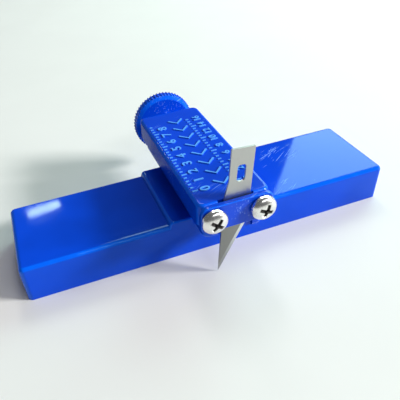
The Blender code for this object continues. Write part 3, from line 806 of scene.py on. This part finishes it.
# %% Make the rail
rail_axis = node_axis("knob_spin")
screw_line = (0, 0, rail_axis.z)
HEAD_FOOT = 16.35 * MM
STEM_HALF = 4.1 * MM
RAIL_EDGE = 0.4 * MM
SHANK = 2.08 * MM
BUSH = 3.2 * MM
REACH = 40 * MM
rail = add("slide_rail_moulding", box_mesh((rail_low.x, rail_low.y, HEAD_FOOT), rail_high))
stem_low = (-STEM_HALF, rail_low.y, rail_low.z)
stem_high = (STEM_HALF, rail_high.y, rail_axis.z)
carve(rail, add("stem", box_mesh(stem_low, stem_high)), operation="UNION")
soften(rail, RAIL_EDGE, 3)
nut_low, nut_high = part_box("feed_nut")
drill(rail, SHANK + GAP, -REACH, REACH, screw_line)
drill(rail, BUSH + GAP, nut_low.y - GAP, REACH, screw_line)
for name in ("rail_screw_front", "rail_screw_rear"):
    low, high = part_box(name)
    y = (low.y + high.y) / 2
    drill(rail, SCREW_HOLE, 0, rail_axis.z - MM, (0, y, 0), 48, "Z")
finish_piece(rail, grey.material, "fence", "grey_plastic", "slide_rail")

# %% [markdown]
# ## The carriage
# A wide upper part sits on a narrower foot, and its top carries a shallow raised scale. Each is
# a block with rounded corners and soft edges of its own, and the two are joined. Then the inside,
# the opening between the lips, the screw's bore, the blade's channel and the insert holes are cut.

# %% Shape the carriage
car_low, car_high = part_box("blade_carriage")
SHOULDER = 17.9 * MM
FOOT_HALF = 8.8 * MM
PLAN_CORNER = 2.2 * MM
BLOCK_EDGE = 1.1 * MM
FRONT_WALL = 6 * MM
REAR_WALL = 3.5 * MM
REAR_BORE = 10 * MM
LIP = 2.4 * MM
CHANNEL_SIDE = 5.4 * MM


def block(name, half, low_z, high_z):
    """A block over the carriage's whole length."""
    low, high = (-half, car_low.y, low_z), (half, car_high.y, high_z)
    return plan_block(name, low, high, PLAN_CORNER, BLOCK_EDGE)


carriage = block("carriage_moulding", car_high.x, SHOULDER, car_high.z)
foot = block("foot", FOOT_HALF, car_low.z, car_high.z - 2 * MM)
carve(carriage, foot, operation="UNION")
front_y, rear_y = car_low.y + FRONT_WALL, car_high.y - REAR_WALL
cavity_low = (-(rail_high.x + GAP), front_y, car_low.z + LIP)
cavity_high = (rail_high.x + GAP, rear_y, rail_high.z + GAP)
opening = box_mesh((-SEAT_HALF, front_y, 0), (SEAT_HALF, rear_y, rail_axis.z))
carve(carriage, add("cavity", box_mesh(cavity_low, cavity_high)), add("opening", opening))
drill(carriage, SHANK + GAP, REAR_BORE, REACH, screw_line)
blade_low, blade_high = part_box("blade")
channel_low = (blade_low.x, car_low.y - 5 * MM, 0)
channel_high = (CHANNEL_SIDE, blade_high.y + GAP, REACH)
carve(carriage, add("channel", box_mesh(channel_low, channel_high)))
for side in ("left", "right"):
    low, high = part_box(f"clamp_insert_{side}")
    middle = (low + high) / 2
    hole = (high.x - low.x) / 2 + GAP
    drill(carriage, hole, car_low.y - MM, high.y + GAP, (middle.x, 0, middle.z), 48)
print("carriage", [round(v / MM, 1) for v in (car_high - car_low)], "mm")
finish_piece(carriage, plastic, "carriage", "blue_plastic", "blade_carriage")

# %% [markdown]
# ## The raised scale
# A width scale is moulded into the carriage's top: two long rows of fine ticks with numbers
# beside them, and between them a line of chevrons that point towards the blade. The ticks come
# from a node tree in which every fifth tick is longer. Numbers are the plainest raised figures.

# %% The tick tree
ticks = Growth("tick_row")
tick_count, tick_pitch = ticks.input("Count", "Int"), ticks.input("Pitch")
tick_short, tick_wide = ticks.input("Short"), ticks.input("Width")
tick_height = ticks.input("Height")
tick_step = ticks.combine(0.0, tick_pitch, 0.0)
tick_line = ticks.node("GeometryNodeMeshLine", {}, {"Count": tick_count, "Offset": tick_step})
index = ticks.node("GeometryNodeInputIndex")
fifth = ticks.math("COMPARE", ticks.math("MODULO", index, 5.0), 0.0, 0.1)
length = ticks.math("MULTIPLY_ADD", fifth, 0.75, 1.0)
tick_size = ticks.combine(tick_short, tick_wide, tick_height)
tick_block = ticks.node("GeometryNodeMeshCube", {}, {"Size": tick_size}, "Mesh")
half_step = ticks.combine(ticks.math("MULTIPLY", tick_short, 0.5), 0.0, 0.0)
tick_block = ticks.node(
    "GeometryNodeTransform", {}, {"Geometry": tick_block, "Translation": half_step}
)
tick_scale = ticks.combine(length, 1.0, 1.0)
tick_row = ticks.node(
    "GeometryNodeInstanceOnPoints", {}, {"Points": tick_line, "Instance": tick_block, "Scale": tick_scale}
)
ticks.finish(tick_row)
print("tick tree inputs", list(ticks.names))

# %% Raise the marks on the carriage's top
RAISE = 0.28 * MM
SINK = 0.12 * MM
top = car_high.z
SCALE_START = car_low.y + 6.5 * MM
MARK = RAISE + SINK
TICKS = 24
TICK_WIDE = 0.3 * MM
SIXTEENTH = 1.5875 * MM
CHEVRONS = 8
CHEVRON_STEP = 5.1 * MM
CHEVRON_HALF = 2.3 * MM
CHEVRON_LONG = 2.2 * MM
STROKE = 0.55 * MM
FIGURES = 9
FIGURE_ROWS = ((2, 3.2, 6.9, 4.5), (1, 3.9, -5.4, 4.3))


def scale_ticks(name, short, x):
    """A row of ticks along the top that starts at x."""
    row = ticks.grow(
        name, Count=TICKS, Pitch=SIXTEENTH, Short=short, Width=TICK_WIDE, Height=2 * MARK,
        Material=raised_wear_and_glint_plastic,
    )
    row.data.transform(Matrix.Translation((x, SCALE_START, top - SINK)))
    return row


def raised_text(words, size, place):
    """Plain raised figures that read along the carriage."""
    curve = bpy.data.curves.new("figures", "FONT")
    curve.body, curve.size = words, size
    curve.extrude = MARK / 2
    curve.offset = 0.06 * MM
    curve.resolution_u = 3
    curve.align_x, curve.align_y = "CENTER", "CENTER"
    obj = settled(add("figures", curve))
    obj.data.materials.clear()
    tidy(obj.data, 0)
    lift = Matrix.Translation((*place, top + (RAISE - SINK) / 2))
    obj.data.transform(lift @ Matrix.Rotation(math.radians(90), 4, "Z"))
    return obj


def bar_mark(points, width):
    """A raised stroke through (x, y) points with square ends, laid on the top."""
    first, last = [], []
    for k, point in enumerate(points):
        here = Vector(point)
        before = Vector(points[max(k - 1, 0)])
        after = Vector(points[min(k + 1, len(points) - 1)])
        way = (after - before).normalized()
        across = Vector((-way.y, way.x)) * width / 2
        first.append(tuple(here + across))
        last.append(tuple(here - across))
    obj = slab("stroke", [first + last[::-1]], 0, MARK)
    obj.data.transform(Matrix.Translation((0, 0, top + RAISE)) @ ALONG_Y.inverted())
    return obj


# A row of figures is what each one adds, then its size, its X and its step along Y in mm.
marks = scale_ticks("width_scale", 1.0 * MM, 3.2 * MM)
rows = [scale_ticks("sixteenths", 0.9 * MM, -9.1 * MM)]
for adds, size, x, step in FIGURE_ROWS:
    for k in range(FIGURES):
        rows.append(raised_text(str(adds * k), size * MM, (x * MM, SCALE_START + step * MM * k)))
for k in range(CHEVRONS):
    y = SCALE_START + CHEVRON_STEP * k
    end = y + CHEVRON_LONG
    rows.append(bar_mark([(-CHEVRON_HALF, end), (0, y), (CHEVRON_HALF, end)], STROKE))
merge(marks, *rows)
print("scale marks", len(marks.data.polygons), "faces")
finish_piece(marks, raised_wear_and_glint_plastic, "carriage", "blue_plastic")

# %% [markdown]
# ## The clamp plate, its screws and inserts
# The plate is a rounded slab with softened edges. Each screw is a turned dome with a cross recess
# cut by two tapered blades, and a thread wound round its shank. The brass inserts that it grips
# have knurls, so the plastic holds them.

# %% Make the plate
plate_low, plate_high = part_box("clamp_plate")
PLATE_CORNER = 2.3 * MM
PLATE_EDGE = 0.45 * MM
CLAMP_HOLE = 1.95 * MM
HOLE_HALF = 9 * MM
plate_outline = rectangle(
    (plate_low.x, plate_low.z), (plate_high.x, plate_high.z), PLATE_CORNER, 10
)
plate = slab("clamp_plate_moulding", [plate_outline], plate_low.y, plate_high.y - plate_low.y)
soften(plate, PLATE_EDGE, 4)
for side in ("left", "right"):
    middle = node_axis(f"{side}_screw_turn")
    drill(plate, CLAMP_HOLE, -HOLE_HALF, HOLE_HALF, middle, 48)
finish_piece(plate, plastic, "clamp", "blue_plastic", "clamp_plate")

# %% Make the clamp screws
HEAD_RADIUS = 3.55 * MM
HEAD_HEIGHT = 2.6 * MM
THREAD = 1.7 * MM
RIM = 0.28
CROSS = 2.3 * MM
CROSS_DEEP = 1.5 * MM
CROSS_HALF = 0.55 * MM
PITCH = 0.794 * MM
RIDGE = 0.26 * MM


def cross_cutter(radius, depth, face_y, x, z, turn):
    """Two tapered blades that cross: wide at the face and narrow at the bottom."""
    cutters = []
    for angle in (turn, turn + 90):
        mesh = box_mesh((-radius, 0, -CROSS_HALF), (radius, depth, CROSS_HALF))
        for vertex in mesh.vertices:
            if vertex.co.y > depth / 2:
                vertex.co.x *= 0.45
                vertex.co.z *= 0.55
            else:
                vertex.co.y -= depth
                vertex.co.x *= 1.5
                vertex.co.z *= 1.35
        spin = Matrix.Rotation(math.radians(angle), 4, "Y")
        mesh.transform(Matrix.Translation((x, face_y, z)) @ spin)
        cutters.append(add("cross", mesh))
    return cutters


def recess_shade(shader):
    """1 inside the cross recess of either screw, below the dome of its head, where shade is painted in.
    """
    x, y, z = shader.axes("Object")
    right = node_axis("right_screw_turn")
    sideways, up = x.size() - right.x, z - right.z
    radius = (sideways * sideways + up * up).math("SQRT")
    share = radius * (1 / HEAD_RADIUS)
    rise = (1 - share * share).math("MAXIMUM", 0).math("SQRT") * HEAD_HEIGHT * (1 - RIM)
    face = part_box("clamp_screw_right")[0].y
    below_dome = y - (face + HEAD_HEIGHT * (1 - RIM)) + rise
    deep = below_dome.above(0.10 * MM, 0.12 * MM)
    return deep * radius.below(2.8 * MM, 0.1 * MM) * y.below(face + 1.8 * MM, 0.1 * MM)


# The screws' zinc paints shade into their cross recesses.
screw_zinc = plated_metal("bright_zinc_screw", ZINC, 0.17, recess_shade)


def pan_screw(name, node, joint, turn):
    """A domed screw along Y, with a cross recess turned by some degrees and a wound thread."""
    low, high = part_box(node)
    middle = node_axis(joint)
    seat = low.y + HEAD_HEIGHT
    height = seat - low.y
    rim = height * RIM
    dome = [
        (HEAD_RADIUS * math.cos(a), seat - rim - (height - rim) * math.sin(a))
        for a in (math.radians(d) for d in range(0, 90, 6))
    ]
    shank = [(0, high.y), (THREAD * 0.8, high.y), (THREAD * 0.8, seat)]
    brim = [(HEAD_RADIUS - 0.25 * MM, seat), (HEAD_RADIUS, seat - 0.25 * MM)]
    screw = turned(name, [*shank, *brim, *dome[1:], (0, low.y)], (middle.x, 0, middle.z))
    carve(screw, *cross_cutter(CROSS, CROSS_DEEP, low.y, middle.x, middle.z, turn))
    start, end = seat + 2.2 * MM, high.y - 0.4 * MM
    turns = (end - start) / PITCH
    line = (middle.x, 0, middle.z)
    merge(screw, wind("thread", THREAD * 0.84, start, end, turns, RIDGE, 3, zinc, line))
    return screw


for side, turn in (("left", 38), ("right", 22)):
    screw = pan_screw(f"pan_screw_{side}", f"clamp_screw_{side}", f"{side}_screw_turn", turn)
    finish_piece(screw, screw_zinc, f"{side}_screw", "zinc", f"clamp_screw_{side}")

# %% Make the inserts
for side in ("left", "right"):
    low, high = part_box(f"clamp_insert_{side}")
    middle = (low + high) / 2
    soft = 0.2 * MM
    outer = (high.x - low.x) / 2
    profile = [
        (CLAMP_HOLE, high.y), (outer - soft, high.y), (outer - soft, low.y), (CLAMP_HOLE, low.y),
        (CLAMP_HOLE, high.y),
    ]
    insert = turned(f"brass_insert_{side}", profile, (middle.x, 0, middle.z), 48)
    knurl = ridges.grow(
        "knurl", Rim_Radius=outer - soft, Count=26, Ridge_Radius=soft * 0.95,
        Ridge_Length=(high.y - low.y) * 0.8, Flatness=1.0, Material=brass,
    )
    knurl.data.transform(Matrix.Translation(middle) @ ALONG_Y)
    merge(insert, knurl)
    finish_piece(insert, brass, "carriage", "brass", f"clamp_insert_{side}")

# %% [markdown]
# ## The blade
# The blade is stamped from thin sheet: a triangular point, a shouldered tang and a slot. It is
# built lying square, then leaned over to the angle it was clamped at. A cut along its edge lets
# the last stretch thin down to the ground bevel.

# %% Draw the blade
LEAN = math.atan2(joints["blade_height"]["axis"][0], joints["blade_height"]["axis"][2])
BLADE_WIDE = 8.1 * MM
HEEL = 18.8 * MM
LENGTH = 39.8 * MM
TANG = (1.0 * MM, 7.35 * MM)
SHOULDERS = (25.2 * MM, 30.4 * MM)
TIP = Vector((-4.7 * MM, blade_low.y, 0.1 * MM))
thick = blade_high.y - blade_low.y
outline = [
    (0, 0, 0), (BLADE_WIDE, HEEL, 0.2 * MM), (BLADE_WIDE, SHOULDERS[0], 0.3 * MM),
    (TANG[1], SHOULDERS[0] + 1.2 * MM, 0.6 * MM), (TANG[1], LENGTH, 0.25 * MM),
    (TANG[0], LENGTH, 0.25 * MM), (TANG[0], SHOULDERS[1], 3.5 * MM), (0, SHOULDERS[0], 2.0 * MM),
]
SLOT_WIDE, SLOT_LONG = 2.35 * MM, 4.9 * MM
SLOT_MIDDLE, SLOT_CORNER = 32.6 * MM, 0.8 * MM
middle_x = sum(TANG) / 2
slot_low = (middle_x - SLOT_WIDE / 2, SLOT_MIDDLE - SLOT_LONG / 2)
slot_high = (middle_x + SLOT_WIDE / 2, SLOT_MIDDLE + SLOT_LONG / 2)
slot_outline = rectangle(slot_low, slot_high, SLOT_CORNER, 6)
blade = slab("craft_blade", [rounded(outline, 5), slot_outline], 0, thick)
edge_way = Vector((BLADE_WIDE, 0, HEEL)).normalized()
edge_out = Vector((edge_way.z, 0, -edge_way.x))

# %% Grind the bevel
GRIND = 1.15 * MM
THINNEST = 0.04
bm = bmesh.new()
bm.from_mesh(blade.data)
everything = [*bm.verts, *bm.edges, *bm.faces]
bmesh.ops.bisect_plane(
    bm, geom=everything, plane_co=edge_out * -GRIND, plane_no=edge_out, dist=1e-7
)
for vertex in bm.verts:
    inside = -vertex.co.dot(edge_out)
    if inside < GRIND * 0.999:
        share = max(THINNEST, inside / GRIND)
        vertex.co.y = thick / 2 + (vertex.co.y - thick / 2) * share
bmesh.ops.triangulate(bm, faces=[f for f in bm.faces if len(f.verts) > 4])
bmesh.ops.recalc_face_normals(bm, faces=bm.faces)
bm.to_mesh(blade.data)
bm.free()
blade.data.transform(Matrix.Translation(TIP) @ Matrix.Rotation(LEAN, 4, "Y"))
print("blade leans", round(math.degrees(LEAN), 1), "degrees")

# %% The blade's steel
STEEL = (0.50, 0.50, 0.485)
STEEL_STAIN_AND_SHADE = (0.24, 0.235, 0.215)
HONED_TIP, HONED = (0.34, 0.34, 0.33), (0.70, 0.71, 0.70)
steel = Shader("ground_steel", Metallic=1.0)
steel_x, _, steel_z = steel.axes("Object")
lean_c, lean_s = math.cos(LEAN), math.sin(LEAN)
across = (steel_x - TIP.x) * lean_c - (steel_z - TIP.z) * lean_s
along = (steel_x - TIP.x) * lean_s + (steel_z - TIP.z) * lean_c
from_edge = along * edge_way.x - across * edge_way.z
ground = from_edge.below(GRIND, 0.03 * MM) * along.below(HEEL + 0.4 * MM, 0.2 * MM)
flat_lines = steel.noise(700, 3, (6, 1, 0.5))
ground_lines = steel.noise(900, 3, (1, 1, 5))
lines = steel.mix(ground, flat_lines, ground_lines)
stain = steel.noise(160, 4).above(0.55, 0.2)
# The lower blade, below the heel, is painted darker: painted shade for the shadowed floor it reflects.
# Stains darken at random towards the same colour.
lower_blade_shade = along.below(HEEL, 3 * MM)
stained_and_shaded = steel.mix((stain * 0.3).greatest(lower_blade_shade * 0.9), STEEL, STEEL_STAIN_AND_SHADE)
honed = steel.mix(along.above(5 * MM, 9 * MM), HONED_TIP, HONED)
steel.set("Base Color", steel.mix(ground, stained_and_shaded, honed))
steel.set("Roughness", flat_lines * 0.12 + stain * 0.08 + 0.30 - ground * 0.06)
steel.bump(lines, 0.003 * MM)
finish_piece(blade, steel.material, "knife", "blade_steel", "blade")

# %% [markdown]
# ## The knob
# The knob's body is turned from one profile: a smooth front with a wide chamfer, a straight rim
# and a dished back with a hex pocket. The ridge tree sets the serrations round its rim.

# %% Make the knob
knob_low, knob_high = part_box("adjusting_knob")
knob_radius = (knob_high.z - knob_low.z) / 2
TOOTH = 0.24 * MM
TEETH = 56
CHAMFER = 1.0 * MM
core_radius = knob_radius - TOOTH
front, back = knob_low.y, knob_high.y
lip, dish, soft = 1.6 * MM, 0.6 * MM, 0.4 * MM
knob_profile = [
    (SHANK + GAP, back - dish), (core_radius - lip - soft, back - dish), (core_radius - lip, back),
    (core_radius - soft, back), (core_radius, back - soft), (core_radius, front + CHAMFER),
    (core_radius - 0.06 * MM, front + CHAMFER * 0.8), (core_radius - CHAMFER, front + 0.25 * MM),
    (core_radius - 1.5 * CHAMFER, front), (SHANK + GAP, front), (SHANK + GAP, back - dish),
]
knob = turned("thumb_knob", knob_profile, screw_line, 176)
FLATS = 6.35 * MM
HEX_DEEP = 2.7 * MM
pocket_outline = hexagon(FLATS + 2 * GAP, rail_axis.z)
carve(knob, slab("hex_pocket", [pocket_outline], back - dish - HEX_DEEP, 2 * HEX_DEEP))
serration = ridges.grow(
    "serration", Rim_Radius=core_radius, Count=TEETH, Ridge_Radius=TOOTH,
    Ridge_Length=back - front - CHAMFER, Flatness=0.95, Material=knob_plastic,
)
rim_middle = (0, (front + back + 0.6 * CHAMFER) / 2, rail_axis.z)
serration.data.transform(Matrix.Translation(rim_middle) @ ALONG_Y)
soften(serration, 0.08 * MM, 2, 60)
merge(knob, serration)
finish_piece(knob, knob_plastic, "adjuster", "blue_plastic", "adjusting_knob")

# %% [markdown]
# ## The lead screw and its bearings
# The screw has a hex head in the knob and a thread along its working length. A nut locks the knob
# on it, washers and a spring clip hold it in the carriage's rear wall, and a spring between the
# brass bush and the clip takes the slack out of the thread.

# %% Make the lead screw
screw_low, screw_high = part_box("lead_screw")
clip_low, clip_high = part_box("retaining_clip")
head_y = screw_high.y - 2.4 * MM
ROOT = SHANK * 0.86
GROOVE = 1.55 * MM
screw_profile = [
    (0, head_y + MM), (SHANK, head_y + MM), (SHANK, clip_high.y + GAP), (GROOVE, clip_high.y + GAP),
    (GROOVE, clip_low.y - GAP), (SHANK, clip_low.y - GAP), (SHANK, clip_low.y - 2 * MM),
    (ROOT, clip_low.y - 2.3 * MM), (ROOT, screw_low.y + 0.4 * MM),
    (ROOT - 0.4 * MM, screw_low.y), (0, screw_low.y),
]
lead_screw = turned("adjusting_screw", screw_profile, screw_line, 48)
hex_head = slab("hex_head", [hexagon(FLATS, rail_axis.z)], head_y, screw_high.y - head_y)
soften(hex_head, 0.25 * MM, 2)
carve(lead_screw, hex_head, operation="UNION")
start, end = screw_low.y + 0.5 * MM, clip_low.y - 2.2 * MM
turns = (end - start) / PITCH
merge(lead_screw, wind("thread", SHANK * 0.87, start, end, turns, RIDGE, 3, zinc, screw_line))
finish_piece(lead_screw, zinc, "adjuster", "zinc", "lead_screw")

# %% Nut, washers, bush, clip and spring


BORE = SHANK + 0.25 * MM


def washer(name, node, body):
    """A turned zinc washer with softened edges, in the place of a flat one."""
    low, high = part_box(node)
    outer, soft = (high.z - low.z) / 2, 0.12 * MM
    profile = [
        (BORE, high.y), (outer - soft, high.y), (outer, high.y - soft), (outer, low.y + soft),
        (outer - soft, low.y), (BORE, low.y), (BORE, high.y),
    ]
    finish_piece(turned(name, profile, screw_line, 72), zinc, body, "zinc", node)


washer("thrust_washer_outer", "outer_washer", "carriage")
washer("thrust_washer_inner", "inner_washer", "carriage")
washer("spring_seat_washer", "spring_seat", "adjuster")
bush_outer = (nut_high.z - nut_low.z) / 2
flange, soft = nut_high.y - 1.2 * MM, 0.2 * MM
bush_profile = [
    (BORE, nut_high.y), (bush_outer - soft, nut_high.y), (bush_outer, nut_high.y - soft),
    (bush_outer, flange), (BUSH, flange), (BUSH, nut_low.y), (BORE, nut_low.y), (BORE, nut_high.y),
]
bush = turned("feed_bush", bush_profile, screw_line, 72)
finish_piece(bush, brass, "fence", "brass", "feed_nut")
lock_low, lock_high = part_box("knob_nut")
nut_flats = min(lock_high.x - lock_low.x, lock_high.z - lock_low.z)
nut_outline = hexagon(nut_flats, rail_axis.z)
nut = slab("lock_nut", [nut_outline], lock_low.y, lock_high.y - lock_low.y)
soften(nut, 0.22 * MM, 3)
drill(nut, BORE, 0, 60 * MM, screw_line, 48)
finish_piece(nut, zinc, "adjuster", "zinc", "knob_nut")
clip_outer, clip_inner = (clip_high.x - clip_low.x) / 2, 1.8 * MM
OPEN = math.radians(70)
sweep = [OPEN / 2 - math.pi / 2 + (2 * math.pi - OPEN) * k / 40 for k in range(41)]
clip_loop = [(clip_outer * math.cos(a), rail_axis.z + clip_outer * math.sin(a)) for a in sweep]
clip_loop += [(clip_inner * math.cos(a), rail_axis.z + clip_inner * math.sin(a)) for a in reversed(sweep)]
clip = slab("retaining_ring", [clip_loop], clip_low.y, clip_high.y - clip_low.y)
soften(clip, 0.1 * MM, 2, 60)
finish_piece(clip, spring_steel, "adjuster", "spring_steel", "retaining_clip")
spring_low, spring_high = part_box("backlash_spring")
WIRE = 0.35 * MM
spring_radius = (spring_high.x - spring_low.x) / 2 - WIRE
COILS = 6.5
start, end = spring_low.y + WIRE, spring_high.y - WIRE
spring = wind(
    "coil_spring", spring_radius, start, end, COILS, WIRE, 12, spring_steel, screw_line, per_turn=32
)
finish_piece(spring, spring_steel, None, "spring_steel", "backlash_spring")
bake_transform(spring)

# %% The rail's screws
for place, node in (("front", "rail_screw_front"), ("rear", "rail_screw_rear")):
    low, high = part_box(node)
    y = (low.y + high.y) / 2
    head = (high.x - low.x) / 2
    seat_z, core, coarse = low.z + 1.9 * MM, 1.05 * MM, 1.1 * MM
    profile = [
        (0, high.z), (core * 0.5, high.z - 0.7 * MM), (core, high.z - 1.4 * MM), (core, seat_z),
        (head, seat_z), (head, seat_z - 0.8 * MM), (head * 0.88, seat_z - 1.4 * MM),
        (head * 0.6, low.z), (0, low.z),
    ]
    screw = turned(f"tapping_screw_{place}", profile, (0, y, 0), 64, "Z")
    cutters = cross_cutter(1.4 * MM, 1.1 * MM, 0, 0, 0, 30)
    for cutter in cutters:
        cutter.data.transform(Matrix.Translation((0, y, low.z)) @ ALONG_Y)
    carve(screw, *cutters)
    start, end = seat_z + 0.4 * MM, high.z - 1.4 * MM
    turns = (high.z - seat_z - 2.2 * MM) / coarse
    merge(screw, wind("thread", core * 1.05, start, end, turns, 0.3 * MM, 3, zinc, (0, y, 0), "Z"))
    finish_piece(screw, zinc, "fence", "zinc", node)

# %% [markdown]
# ## Compare the size
# The dressed tool's box is measured, and how far it has grown past the imported model's box is printed.
# The dressed tool must fill the same box as the imported model.

# %% Print how far the tool has grown
low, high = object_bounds()
print("grown by", [round((a - b) / MM, 2) for a, b in zip(high - low, cad_high - cad_low)], "mm")
